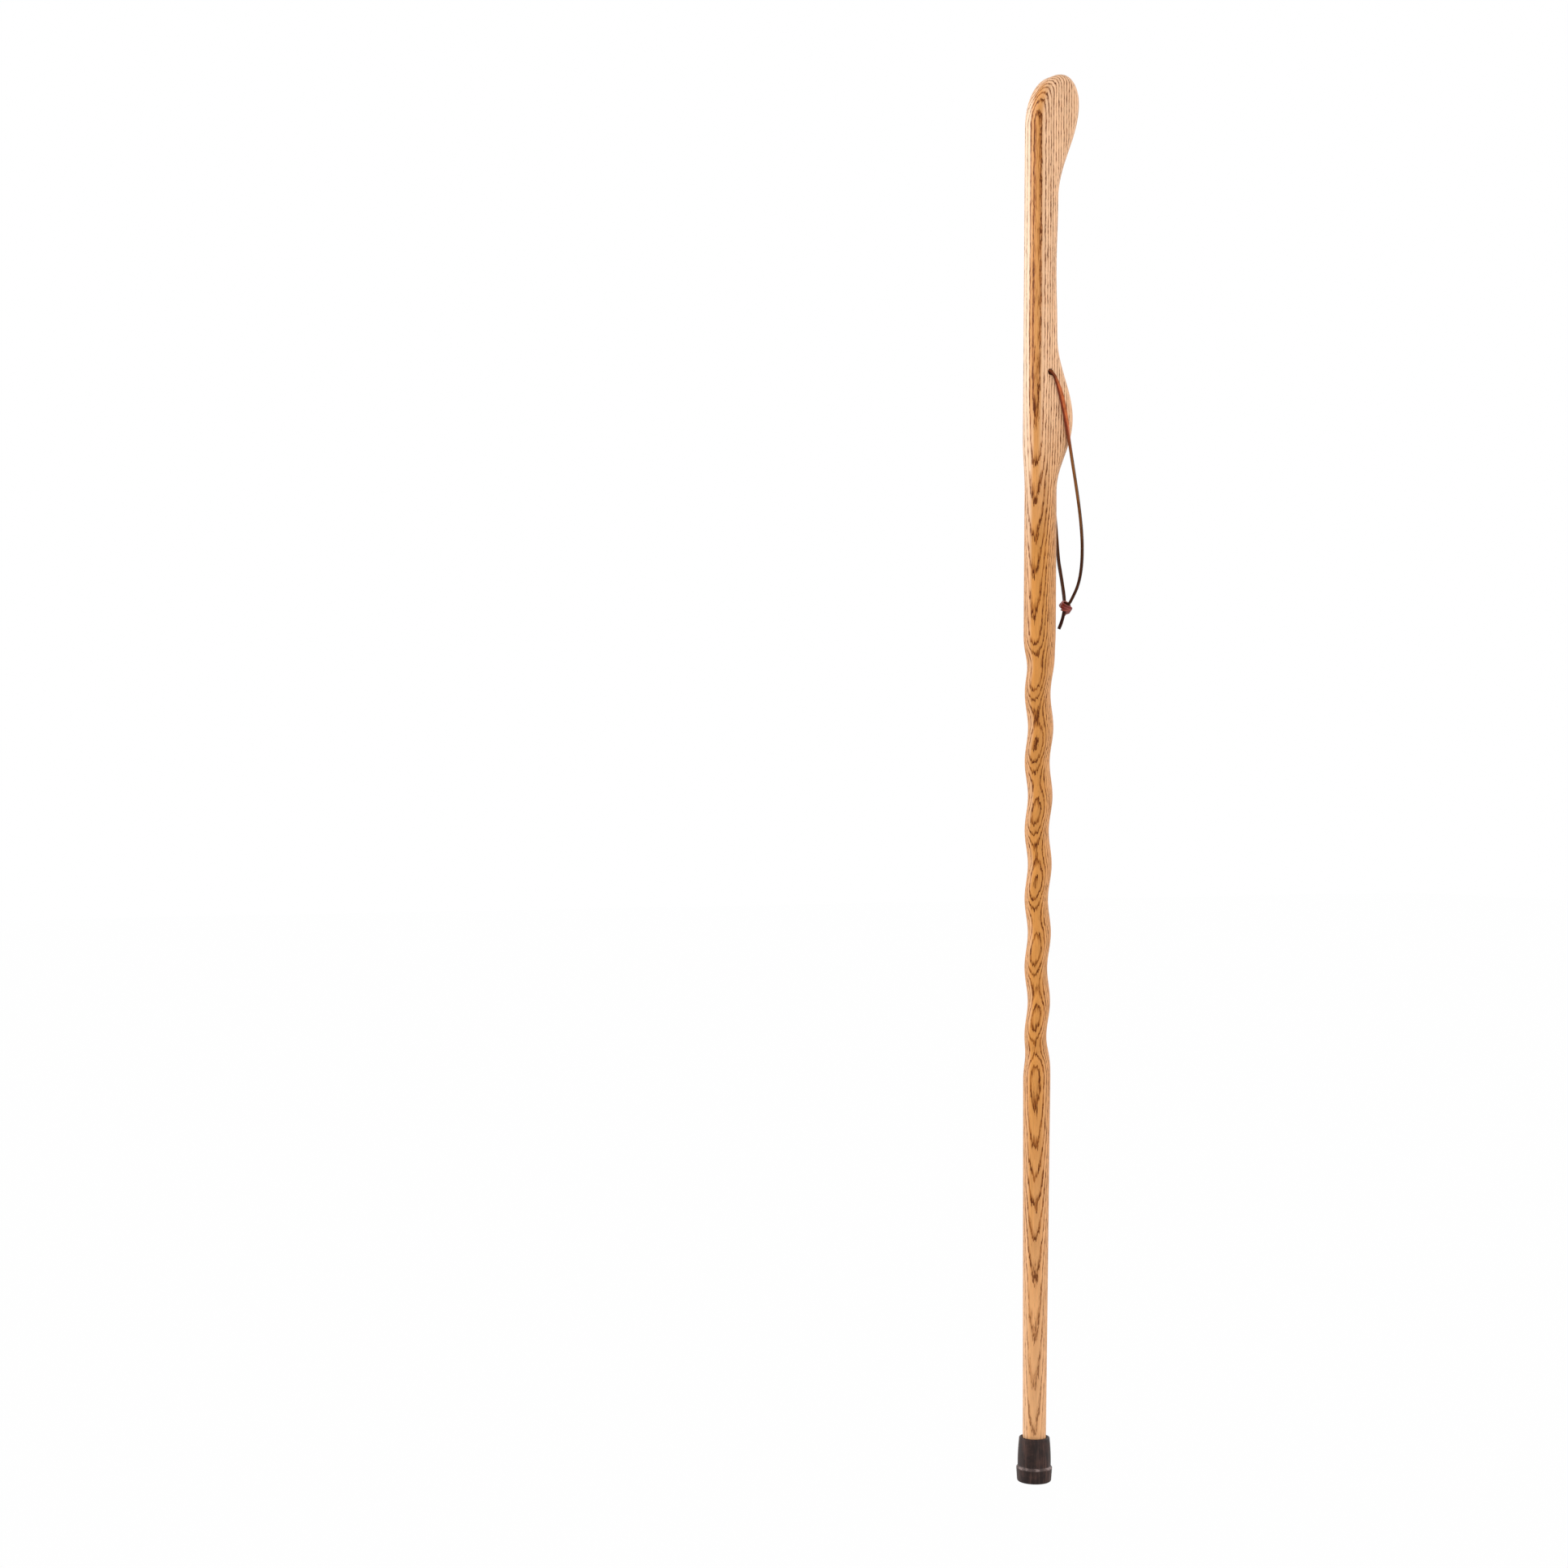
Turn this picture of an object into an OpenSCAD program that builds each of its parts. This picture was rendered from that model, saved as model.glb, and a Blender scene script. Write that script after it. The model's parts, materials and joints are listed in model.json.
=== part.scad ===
// Wooden hiking staff with a shaped handle, a spiral-cut shaft, a leather lanyard and a rubber ferrule.
// Millimetres. The foot of the ferrule is at the origin, the shaft runs up +Z, the handle swells to +X
// and the board that it was cut from is square to Y.

/* [Staff] */
// Length from the foot of the ferrule to the crown of the head
overall_length = 1397; // [1250:1:1500]
// Thickness of the board, and diameter of the round shaft below the handle
board_thickness = 31.8; // [29:0.1:35]
// Diameter of the wood where it enters the ferrule
tip_diameter = 23; // [20:0.1:26]
// Drop from the crown to the top of the taper, where the spiral starts
taper_drop = 557; // [520:1:600]

/* [Spiral] */
// Height of the lower end of the spiral above the foot
spiral_foot = 398; // [300:1:500]
// Rise of one turn of the spiral
spiral_lead = 68; // [50:1:100]
// How far the spiral's middle is cut below the taper
spiral_depth = 2.8; // [2:0.1:3.5]
// How far the spiral's round section runs off the shaft's axis
spiral_offset = 1.6; // [0.5:0.1:2]
// Direction that the spiral's ridge faces at its lower end, in degrees from +X
spiral_facing = -87; // [-180:1:180]
// Height over which the spiral fades out at each end
spiral_fade = 42; // [20:1:80]

/* [Head] */
// Reach of the head's nose from the shaft's axis
head_reach = 37.6; // [30:0.1:45]
// Drop from the crown to the nose
nose_drop = 28; // [24:1:40]
// Distance of the crown from the shaft's axis
crown_offset = 18; // [14:0.5:22]
// Drop from the crown to where the rounded back of the head begins
back_drop = 54; // [50:1:90]
// Height of the sweep from the neck out to the nose
head_sweep = 97; // [80:1:110]

/* [Neck and swell] */
// Reach of the neck's two ends from the shaft's axis
neck_reach = 13; // [11:0.1:16]
// How far the middle of the neck is hollowed
neck_hollow = 1.6; // [0:0.1:3]
// Drop from the crown to the fullest point of the palm swell
swell_drop = 342; // [320:1:360]
// Reach of the palm swell from the shaft's axis
swell_reach = 32.4; // [25:0.1:38]
// Height of the swell's run up to the neck
swell_run_up = 80; // [60:1:100]
// Height of the swell's run down to the round shaft
swell_run_down = 72; // [50:1:90]
// Radius of the handle's rounded long edges
edge_radius = 10.5; // [6:0.1:10.8]
// Height over which the flat faces fade into the round shaft
face_fade = 52; // [30:1:80]

/* [Lanyard] */
// Drop from the crown to the lanyard hole
hole_drop = 298; // [285:1:305]
// Diameter of the lanyard hole
hole_diameter = 6; // [5.5:0.1:8]
// How far the edges of the hole are eased
hole_ease = 1.2; // [1:0.1:2]
// Width of the leather lace
lace_width = 3.2; // [2.4:0.1:3.8]
// Radius of the knot's round middle
knot_radius = 5.6; // [4.5:0.1:6]

/* [Ferrule] */
// Height of the rubber ferrule
ferrule_height = 44; // [36:1:55]
// Rubber under the washer
ferrule_floor = 9; // [7:0.5:14]
// Rubber wall at the rim
rim_wall = 3.6; // [2.5:0.1:4.5]
// Rubber wall just above the collar
skirt_wall = 4.9; // [4.6:0.1:5.6]
// How far the skirt bulges halfway up
skirt_belly = 0.4; // [0:0.1:0.8]
// Rubber wall at the collar
collar_wall = 6.2; // [5.8:0.1:8]
// Height of the collar
collar_height = 15; // [10:0.5:18]
// How far the mouth of the bore is eased
mouth_ease = 1.6; // [0.4:0.1:2]
// Number of ring grooves under the foot
tread_count = 2; // [1:1:3]
// Width of a ring groove
tread_width = 1.8; // [1:0.1:2.5]
// Depth of a ring groove
tread_depth = 2; // [1:0.1:3]

/* [Washer] */
// Thickness of the steel washer in the ferrule
washer_thickness = 1.5; // [1:0.1:3]
// Diameter of the washer's hole
washer_hole = 8; // [5:0.5:12]

/* [Clearances] */
// Gap between the wood and the ferrule's wall
ferrule_clearance = 0.05; // [0.02:0.01:0.1]
// Gap between the end of the wood and the washer
seat_clearance = 0.05; // [0.02:0.01:0.2]
// Gap between the washer and the ferrule's wall
washer_clearance = 0.4; // [0.1:0.1:1]
// Gap between the lace and the wood
lace_clearance = 0.3; // [0.2:0.05:0.6]

/* [Hidden] */
$fn = 64;

wood_color = [0.80, 0.58, 0.34];
leather_color = [0.55, 0.27, 0.10];
rubber_color = [0.10, 0.10, 0.11];
steel_color = [0.72, 0.73, 0.75];

// The flat and the carved stretches lie this far inside the turned ones that they run into
join_step = 0.1;
// Length over which two stretches of the shaft overlap
join_length = 6;
shaft_radius = board_thickness / 2;
tip_radius = tip_diameter / 2;
taper_top = overall_length - taper_drop;

face_half = shaft_radius - join_step;
swell_z = overall_length - swell_drop;
neck_low = swell_z + swell_run_up;
nose_z = overall_length - nose_drop;
neck_high = nose_z - head_sweep;
back_z = overall_length - back_drop;
handle_foot = swell_z - swell_run_down - join_length;
nose_span = head_reach - crown_offset;
back_span = crown_offset + face_half;
// A routed edge is never rounder than the crown of the head, or than half the neck
crown_curve = min(nose_span * nose_span / nose_drop, back_span * back_span / back_drop);
neck_half = (face_half + neck_reach - neck_hollow) / 2;
routed_radius = min(edge_radius, 0.97 * crown_curve, 0.95 * neck_half);

hole_radius = hole_diameter / 2;
hole_z = overall_length - hole_drop;
lace_radius = lace_width / 2;
// The lace arches over the hole's lower edges, so its run lies in the top of the hole
run_z = hole_z + hole_radius - lace_radius - lace_clearance;
lace_sides = 8;

bore_radius = tip_radius + ferrule_clearance;
washer_top = ferrule_floor + washer_thickness;
wood_foot = washer_top + seat_clearance;
washer_radius = bore_radius - washer_clearance;
collar_radius = bore_radius + collar_wall;
foot_round = 2.2;
foot_draft = 0.8;
lip_round = 1.2;
tread_pitch = collar_radius / (tread_count + 1);

spiral_sides = 28;
spiral_steps = 66;
side_steps = 46;
crown_steps = 14;
edge_steps = 5;
skirt_steps = 6;

// Route of one strand from inside the hole to the knot. Each point is its distance from the shaft's
// axis towards +X, from the board's face outwards, and above the lace's run in the hole.
strand_route = [
    [0, -4.5, 0], [0, -3.2, -0.1], [0.1, -2, -0.45], [0.3, -0.9, -1], [0.6, 0, -1.7], [1.1, 0.8, -2.4],
    [1.8, 1.4, -3.3], [2.6, 1.8, -4.3], [3.5, 1.9, -5.6], [4.9, 1.9, -8], [7.1, 1.9, -12.4],
    [9.2, 1.9, -17.4], [12.3, 1.9, -26], [14.9, 1.9, -35], [17.8, 1.9, -48], [20.4, 2, -62],
    [23.1, 2.2, -77], [25.7, 2.7, -92], [28.1, 3.3, -106], [30.4, 4.1, -121], [32.4, 4.7, -135],
    [34.1, 5, -148], [35.4, 5, -160], [36.3, 4.7, -171],
    [37, 3.6, -184], [37.6, 1.4, -195], [37.6, -1.4, -205], [36.8, -4.6, -213.5],
    [35.4, -8, -220.5], [33.8, -11, -226.5], [32.5, -13.4, -230]];
knot_center = [31.6, 0, -232];
// Route of one tail: distance from the shaft's axis, sideways from the middle, above the run in the hole
tail_route = [[29.8, 2, -236], [28.4, 2.2, -242], [26.2, 2.2, -248], [23.6, 2, -253.5]];

function share(z, low, high) = max(0, min(1, (z - low) / (high - low)));
function ease(a, b, t) = a + (b - a) * (1 - cos(180 * t)) / 2;
function unit(v) = v / norm(v);

function arc(center, radius, from, to, steps) = [
    for (i = [0 : steps])
        let (a = from + (to - from) * i / steps)
        [center[0] + radius * cos(a), center[1] + radius * sin(a)]];

// Radius of the taper at a height
function taper_radius(z) =
    tip_radius + (shaft_radius - tip_radius) * share(z, ferrule_height, taper_top);

// How much of the spiral is cut at a height, from 0 to 1
function spiral_share(z) =
    ease(0, 1, share(z, spiral_foot, spiral_foot + spiral_fade))
    * ease(0, 1, share(taper_top - z, 0, spiral_fade));

// One ring of the spiral: a circle that runs round the shaft's axis as it climbs
function spiral_ring(z) =
    let (cut = spiral_share(z),
        facing = spiral_facing + 360 * (z - spiral_foot) / spiral_lead,
        radius = taper_radius(z) - join_step - spiral_depth * cut,
        off = spiral_offset * cut)
    [for (i = [0 : spiral_sides - 1])
        let (a = 360 * i / spiral_sides)
        [off * cos(facing) + radius * cos(a), off * sin(facing) + radius * sin(a), z]];

// Faces between rings of equal count, with both ends closed
function tube_faces(rings, sides) = concat(
    [[for (i = [0 : sides - 1]) i]],
    [for (r = [0 : rings - 2], i = [0 : sides - 1])
        let (a = r * sides + i, b = r * sides + (i + 1) % sides)
        each [[a, b + sides, b], [a, a + sides, b + sides]]],
    [[for (i = [sides - 1 : -1 : 0]) (rings - 1) * sides + i]]);

module spiral() {
    low = spiral_foot - join_length;
    high = taper_top + join_length;
    points = [for (s = [0 : spiral_steps]) each spiral_ring(low + (high - low) * s / spiral_steps)];
    polyhedron(points, tube_faces(spiral_steps + 1, spiral_sides));
}

// Reach of the handle's front edge at a height below the nose
function front_reach(z) =
    z < swell_z ? ease(face_half, swell_reach, share(z, swell_z - swell_run_down, swell_z))
    : z < neck_low ? ease(swell_reach, neck_reach, share(z, swell_z, neck_low))
    : z < neck_high ? neck_reach - neck_hollow * (1 - cos(360 * share(z, neck_low, neck_high))) / 2
    : ease(neck_reach, head_reach, share(z, neck_high, nose_z));

// The handle's outline as [x, z] points, up its back, over the crown and down its front
function handle_outline() = concat(
    [for (i = [0 : side_steps - 1])
        [-face_half, handle_foot + (back_z - handle_foot) * i / side_steps]],
    [for (i = [0 : crown_steps - 1])
        let (a = 90 * i / (crown_steps - 0.5))
        [crown_offset - back_span * cos(a), back_z + back_drop * sin(a)]],
    [for (i = [crown_steps - 1 : -1 : 0])
        let (a = 90 * i / (crown_steps - 0.5))
        [crown_offset + nose_span * cos(a), nose_z + nose_drop * sin(a)]],
    [for (i = [side_steps - 1 : -1 : 0])
        let (z = handle_foot + (nose_z - handle_foot) * i / side_steps)
        [front_reach(z), z]]);

// Direction out of the outline at each of its points; it is level at the two ends
function outward(line) =
    let (last = len(line) - 1)
    [for (i = [0 : last])
        i == 0 ? [-1, 0]
        : i == last ? [1, 0]
        : let (d = unit(line[i + 1] - line[i - 1])) [-d[1], d[0]]];

// Radius of the long edges at a height: the section is round at the foot of the handle
function edge_at(z) =
    ease(face_half - join_step, routed_radius,
        share(z, handle_foot + join_length, handle_foot + join_length + face_fade));

module handle() {
    line = handle_outline();
    out = outward(line);
    count = len(line);
    turns = concat([for (k = [edge_steps : -1 : 0]) [-1, 90 * k / edge_steps]],
        [for (k = [0 : edge_steps]) [1, 90 * k / edge_steps]]);
    rows = len(turns);
    points = [for (t = turns, i = [0 : count - 1])
        let (r = edge_at(line[i][1]),
            p = line[i] - out[i] * r * (1 - cos(t[1])),
            y = t[0] * (face_half - r + r * sin(t[1])))
        [p[0], y, p[1]]];
    skin = [for (k = [0 : rows - 2], i = [0 : count - 2])
        let (a = k * count + i, b = a + count)
        each [[a, b + 1, a + 1], [a, b, b + 1]]];
    flats = [for (i = [0 : count / 2 - 2])
        let (a = i, b = count - 1 - i, c = (rows - 1) * count)
        each [[a, a + 1, b], [a + 1, b - 1, b],
            [c + a, c + b, c + a + 1], [c + a + 1, c + b, c + b - 1]]];
    foot = [concat([for (k = [rows - 1 : -1 : 0]) k * count],
        [for (k = [0 : rows - 1]) k * count + count - 1])];
    polyhedron(points, concat(skin, flats, foot));
}

// The tenon in the ferrule and the plain taper above it
module lower_shaft() {
    top = spiral_foot + join_length / 2;
    rotate_extrude()
        polygon([[0, wood_foot], [tip_radius, wood_foot], [tip_radius, ferrule_height],
            [taper_radius(top), top], [0, top]]);
}

// The round shaft between the spiral and the handle
module upper_shaft() {
    low = taper_top + join_length / 2;
    translate([0, 0, low])
        cylinder(h = handle_foot + join_length - low, r = shaft_radius);
}

// The drilled hole along its own axis, with both of its edges eased
module lanyard_hole() {
    cylinder(h = 2 * board_thickness, r = hole_radius, center = true);
    for (side = [0, 1])
        mirror([0, 0, side])
            translate([0, 0, face_half - hole_ease])
                cylinder(h = 2 * hole_ease, r1 = hole_radius, r2 = hole_radius + 2 * hole_ease);
}

module staff() {
    color(wood_color)
        difference() {
            union() {
                lower_shaft();
                spiral();
                upper_shaft();
                handle();
            }
            translate([0, 0, hole_z])
                rotate([90, 0, 0])
                    lanyard_hole();
        }
}

// Outline of the ferrule's outside from the foot up to the rim
function ferrule_outline() =
    let (foot_radius = collar_radius - foot_draft,
        skirt_radius = bore_radius + skirt_wall,
        skirt_low = collar_height + lip_round / 2,
        rim_radius = bore_radius + rim_wall,
        rim_low = ferrule_height - lip_round)
    concat(
        [[0, 0]],
        arc([foot_radius - foot_round, foot_round], foot_round, -90, 0, 6),
        arc([collar_radius - lip_round, collar_height - lip_round], lip_round, 0, 60, 4),
        [for (i = [0 : skirt_steps - 1])
            let (t = i / skirt_steps)
            [skirt_radius + (rim_radius - skirt_radius) * t + skirt_belly * sin(180 * t),
                skirt_low + (rim_low - skirt_low) * t]],
        arc([rim_radius - lip_round, rim_low], lip_round, 0, 90, 5),
        [[0, ferrule_height]]);

module rubber_ferrule() {
    color(rubber_color)
        difference() {
            rotate_extrude()
                polygon(ferrule_outline());
            translate([0, 0, ferrule_floor])
                cylinder(h = ferrule_height, r = bore_radius);
            translate([0, 0, ferrule_height - mouth_ease])
                cylinder(h = 2 * mouth_ease, r1 = bore_radius, r2 = bore_radius + 2 * mouth_ease);
            for (i = [1 : tread_count])
                translate([0, 0, -tread_depth])
                    difference() {
                        cylinder(h = 2 * tread_depth, r = i * tread_pitch + tread_width / 2);
                        translate([0, 0, -1])
                            cylinder(h = 2 * tread_depth + 2, r = i * tread_pitch - tread_width / 2);
                    }
        }
}

module ferrule_washer() {
    color(steel_color)
        translate([0, 0, ferrule_floor])
            difference() {
                cylinder(h = washer_thickness, r = washer_radius);
                translate([0, 0, -1])
                    cylinder(h = washer_thickness + 2, d = washer_hole);
            }
}

// A round tube swept along points; no stretch of the lace runs along X, so X steadies its sides
module lace(line) {
    last = len(line) - 1;
    points = [for (i = [0 : last])
        let (along = unit(line[min(i + 1, last)] - line[max(i - 1, 0)]),
            side = unit(cross(along, [1, 0, 0])),
            up = cross(along, side))
        for (k = [0 : lace_sides - 1])
            let (a = 360 * (k + 0.5) / lace_sides)
            line[i] + lace_radius * (side * cos(a) + up * sin(a))];
    color(leather_color)
        polyhedron(points, tube_faces(last + 1, lace_sides));
}

// The strand's route on one side of the board, -1 in front and 1 behind
function strand_points(side) = [
    for (p = strand_route) [p[0], side * (shaft_radius + p[1]), run_z + p[2]]];

function tail_points(side) = [
    for (p = tail_route) [p[0], side * p[1], run_z + p[2]]];

module lanyard_hole_run() {
    color(leather_color)
        translate([0, 0, run_z])
            rotate([90, 0, 0])
                cylinder(h = 2 * (shaft_radius + strand_route[0][1]), r = lace_radius, center = true);
}

module lanyard_front_strand() {
    lace(strand_points(-1));
}

module lanyard_rear_strand() {
    lace(strand_points(1));
}

// An overhand knot drawn tight: a round middle with two turns of lace over it
module lanyard_knot() {
    turns = [[62, 0, 24], [62, 0, -42]];
    color(leather_color)
        translate([knot_center[0], knot_center[1], run_z + knot_center[2]])
            union() {
                sphere(r = knot_radius);
                for (t = turns)
                    rotate(t)
                        rotate_extrude()
                            translate([knot_radius - lace_radius / 3, 0])
                                circle(r = lace_radius);
            }
}

module lanyard_front_tail() {
    lace(tail_points(-1));
}

module lanyard_rear_tail() {
    lace(tail_points(1));
}

staff();
rubber_ferrule();
ferrule_washer();
lanyard_hole_run();
lanyard_front_strand();
lanyard_rear_strand();
lanyard_knot();
lanyard_front_tail();
lanyard_rear_tail();
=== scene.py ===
import json
import math
from functools import partialmethod

import bmesh
import bpy
from bpy.props import FloatProperty, FloatVectorProperty, PointerProperty
from mathutils import Color, Matrix, Quaternion, Vector


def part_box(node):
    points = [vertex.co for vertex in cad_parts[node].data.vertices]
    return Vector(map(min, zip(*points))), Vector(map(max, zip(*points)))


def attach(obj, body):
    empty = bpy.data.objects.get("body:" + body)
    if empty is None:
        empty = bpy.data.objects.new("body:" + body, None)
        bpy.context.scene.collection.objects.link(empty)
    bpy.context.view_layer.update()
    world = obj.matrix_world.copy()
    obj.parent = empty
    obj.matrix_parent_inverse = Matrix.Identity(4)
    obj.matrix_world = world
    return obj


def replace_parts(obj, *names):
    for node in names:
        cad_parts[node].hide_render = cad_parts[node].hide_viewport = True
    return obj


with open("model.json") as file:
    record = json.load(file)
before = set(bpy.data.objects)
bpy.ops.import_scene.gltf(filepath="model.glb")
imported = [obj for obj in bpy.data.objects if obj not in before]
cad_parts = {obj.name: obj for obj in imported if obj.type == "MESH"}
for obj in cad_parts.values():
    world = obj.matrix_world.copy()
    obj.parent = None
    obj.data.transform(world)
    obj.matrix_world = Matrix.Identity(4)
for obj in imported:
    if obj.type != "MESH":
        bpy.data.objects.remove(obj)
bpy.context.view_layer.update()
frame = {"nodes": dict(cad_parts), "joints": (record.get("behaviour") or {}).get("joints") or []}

bl_info = {
    "name": "Hiking staff",
    "version": (1, 0, 0),
    "blender": (4, 5, 0),
    "location": "View3D > Sidebar > Hiking staff",
    "description": "Carves a wooden hiking staff, laces it and shoes it with a rubber ferrule",
    "category": "Add Mesh",
}

JOINTS = {joint["name"]: joint for joint in frame["joints"]}
MM = 0.001
# Edges that turn by more than this show as sharp
SHARP_TURN = math.radians(42)
# Direction from the staff to the camera, round the shaft
CAMERA_AZIMUTH = math.radians(-36)


# Settings

def length(name, description, default):
    """A size in metres that a user can change."""
    return FloatProperty(name=name, description=description, default=default, precision=4, unit="LENGTH")


def angle(name, description, degrees):
    """An angle that a user can change."""
    return FloatProperty(name=name, description=description, default=math.radians(degrees), unit="ROTATION")


def kept_share(name, description, default):
    """A share of its width that the lace keeps where it is squeezed."""
    return FloatProperty(
        name=name, description=description, default=default, min=0.5, max=1, subtype="FACTOR")


def colour(name, description, *shown):
    """A colour that a user can change, given as it shows on a screen, from 0 to 255."""
    default = Color([value / 255 for value in shown]).from_srgb_to_scene_linear()
    return FloatVectorProperty(
        name=name, description=description, default=default, subtype="COLOR", size=3, min=0, max=1)


class StaffSizes(bpy.types.PropertyGroup):
    """Sizes of the carved wood, as its solid has them."""
    overall_length: length("Length", "Foot of the ferrule to the crown of the head", 1.397)
    board_thickness: length("Board", "Thickness of the board and diameter of the shaft", 0.0318)
    tip_diameter: length("Tip", "Diameter of the wood in the ferrule", 0.023)
    tip_bevel: length("Tip bevel", "Bevel round the end of the wood", 0.0008)
    taper_top: length("Taper top", "Height where the taper and the spiral begin", 0.840)
    spiral_foot: length("Spiral foot", "Height of the spiral's lower end", 0.398)
    spiral_lead: length("Spiral lead", "Rise of one turn of the spiral", 0.068)
    spiral_depth: length("Spiral depth", "How far the spiral is cut below the taper", 0.0028)
    spiral_offset: length("Spiral offset", "How far the spiral runs off the axis", 0.0016)
    spiral_facing: angle("Spiral facing", "Where the spiral's ridge faces at its foot", -87)
    spiral_fade: length("Spiral fade", "Height over which the spiral fades out", 0.042)
    head_reach: length("Head reach", "Reach of the nose from the axis", 0.0376)
    nose_drop: length("Nose drop", "Drop from the crown to the nose", 0.028)
    crown_offset: length("Crown offset", "Distance of the crown from the axis", 0.018)
    back_drop: length("Back drop", "Drop from the crown to the straight back", 0.054)
    head_sweep: length("Head sweep", "Height of the sweep from the neck to the nose", 0.097)
    neck_reach: length("Neck reach", "Reach of the neck's two ends from the axis", 0.013)
    neck_hollow: length("Neck hollow", "How far the middle of the neck is hollowed", 0.0016)
    swell_drop: length("Swell drop", "Drop from the crown to the fullest of the swell", 0.342)
    swell_reach: length("Swell reach", "Reach of the palm swell from the axis", 0.0324)
    swell_run_up: length("Swell run up", "Height of the swell's run up to the neck", 0.080)
    swell_run_down: length("Swell run down", "Height of the swell's run down to the shaft", 0.072)
    edge_radius: length("Edge radius", "Radius of the handle's long edges", 0.0105)
    face_fade: length("Face fade", "Height over which the flat faces fade out", 0.052)
    join_length: length("Join", "Length over which the handle and the shaft overlap", 0.006)
    join_step: length("Join step", "How far the flat faces lie inside the round shaft", 0.0001)
    hole_diameter: length("Hole", "Diameter of the lanyard hole", 0.006)
    hole_ease: length("Hole ease", "Rounding of the hole's edges", 0.0012)


class LanyardSizes(bpy.types.PropertyGroup):
    """Sizes of the leather lace."""
    hole_height: length("Hole height", "Height of the lanyard hole", JOINTS["lanyard_swing"]["pos_m"][2])
    run_height: length("Run height", "Height of the lace in its hole", 1.1001)
    lace_width: length("Lace width", "Width of the lace", 0.0046)
    lace_thickness: length("Lace thickness", "Thickness of the lace", 0.0026)
    corner: length("Lace corner", "Rounding of the lace's corners", 0.0008)
    strand_length: length("Strand", "Length of one strand from the hole's middle to the knot", 0.260)
    front_twist: angle("Front twist", "Turn of the front strand as it leaves the palm swell", -45)
    rear_twist: angle("Rear twist", "Turn of the rear strand as it leaves the palm swell", -68)
    hole_squeeze: kept_share("Hole squeeze", "Share of its width that the lace keeps in its hole", 0.62)
    tail_squeeze: kept_share("Tail squeeze", "Share of its width that the lace keeps in its tails", 0.70)
    knot_squeeze: kept_share("Knot squeeze", "Share of its width that the lace keeps in the knot", 0.64)


class FerruleSizes(bpy.types.PropertyGroup):
    """Sizes of the rubber ferrule."""
    height: length("Height", "Height of the ferrule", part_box("rubber_ferrule")[1].z)
    floor: length("Floor", "Rubber under the washer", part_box("ferrule_washer")[0].z)
    clearance: length("Clearance", "Gap between the wood and the wall", 0.00005)
    rim_wall: length("Rim wall", "Wall at the rim", 0.0036)
    skirt_wall: length("Skirt wall", "Wall just above the collar", 0.0049)
    skirt_belly: length("Skirt belly", "How far the skirt bulges halfway up", 0.0004)
    collar_wall: length("Collar wall", "Wall at the collar", 0.0062)
    collar_height: length("Collar height", "Height of the collar", 0.015)
    mouth_ease: length("Mouth ease", "Bevel at the mouth of the bore", 0.0016)
    foot_round: length("Foot round", "Rounding of the foot", 0.0022)
    foot_draft: length("Foot draft", "How far the collar draws in to the foot", 0.0008)
    lip_round: length("Lip round", "Rounding of the rim and the collar's bead", 0.0012)
    tread_width: length("Tread width", "Width of a ring groove under the foot", 0.0018)
    tread_depth: length("Tread depth", "Depth of a ring groove", 0.002)


class Finishes(bpy.types.PropertyGroup):
    """Colours of the wood, the leather, the rubber and the steel."""
    wood_pale: colour("Pale wood", "Summer wood where the rings are cut across", 250, 203, 161)
    wood_warm: colour("Warm wood", "Summer wood where the rings are cut flat", 214, 144, 68)
    spring_pale: colour("Pale spring wood", "Porous start of a ring that is cut across", 152, 82, 30)
    spring_warm: colour("Warm spring wood", "Porous start of a ring that is cut flat", 148, 80, 20)
    wood_pore: colour("Pores", "Open pores in the spring wood", 94, 40, 4)
    # Partly sapwood, partly a painted sheen of the lacquer: the cream lies on the back, which faces the key
    # light
    wood_sap_and_sheen: colour("Sapwood", "Creamy wood on the staff's back", 250, 224, 196)
    leather_red: colour("Red leather", "Worn face of the lace on the palm swell", 206, 110, 62)
    leather_side: colour("Rubbed edge", "Cut edges of the lace on the palm swell", 148, 66, 42)
    # Also the colour of the painted shade in the lace's hole and in its grain's pits, besides real wear
    # patches
    leather_dark: colour("Dark leather", "Face of the lace lower down, and creases", 46, 18, 10)
    leather_tan: colour("Cut leather", "Cut edges of the lace lower down", 142, 90, 46)
    # Knot leather: its own dark red, darkened further into painted shade on the lace's rounded sides in the
    # knot
    leather_knot_and_shade: colour("Drawn leather", "Face of the lace drawn tight in the knot", 64, 10, 11)
    leather_rim: colour("Knot edge", "Cut edges of the lace in the knot", 158, 82, 68)
    # Painted highlight: a lighter middle of the lace's face in the knot, where light catches the drawn lace
    leather_painted_highlight: colour("Rubbed leather", "Middle of the lace drawn tight in the knot", 120, 34, 30)
    rubber_dark: colour("Rubber", "Moulded rubber", 30, 16, 13)
    rubber_dust: colour("Dust", "Bloom and dust on the rubber", 92, 66, 58)
    # Painted highlight along the top of the collar's bead, where light catches its rounded edge
    rubber_bead_highlight: colour("Scuffs", "Rubbed edge of the ferrule's collar", 150, 130, 126)
    steel_light: colour("Steel", "Plated steel", 205, 206, 210)
    steel_dull: colour("Dull steel", "Tarnish on the steel", 150, 148, 145)


class StaffSettings(bpy.types.PropertyGroup):
    """All that can be set on the hiking staff."""
    staff: PointerProperty(type=StaffSizes)
    lanyard: PointerProperty(type=LanyardSizes)
    ferrule: PointerProperty(type=FerruleSizes)
    finishes: PointerProperty(type=Finishes)


# Mesh tools

def share(value, low, high):
    """How far a value is from low to high, from 0 to 1."""
    return max(0.0, min(1.0, (value - low) / (high - low)))


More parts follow.
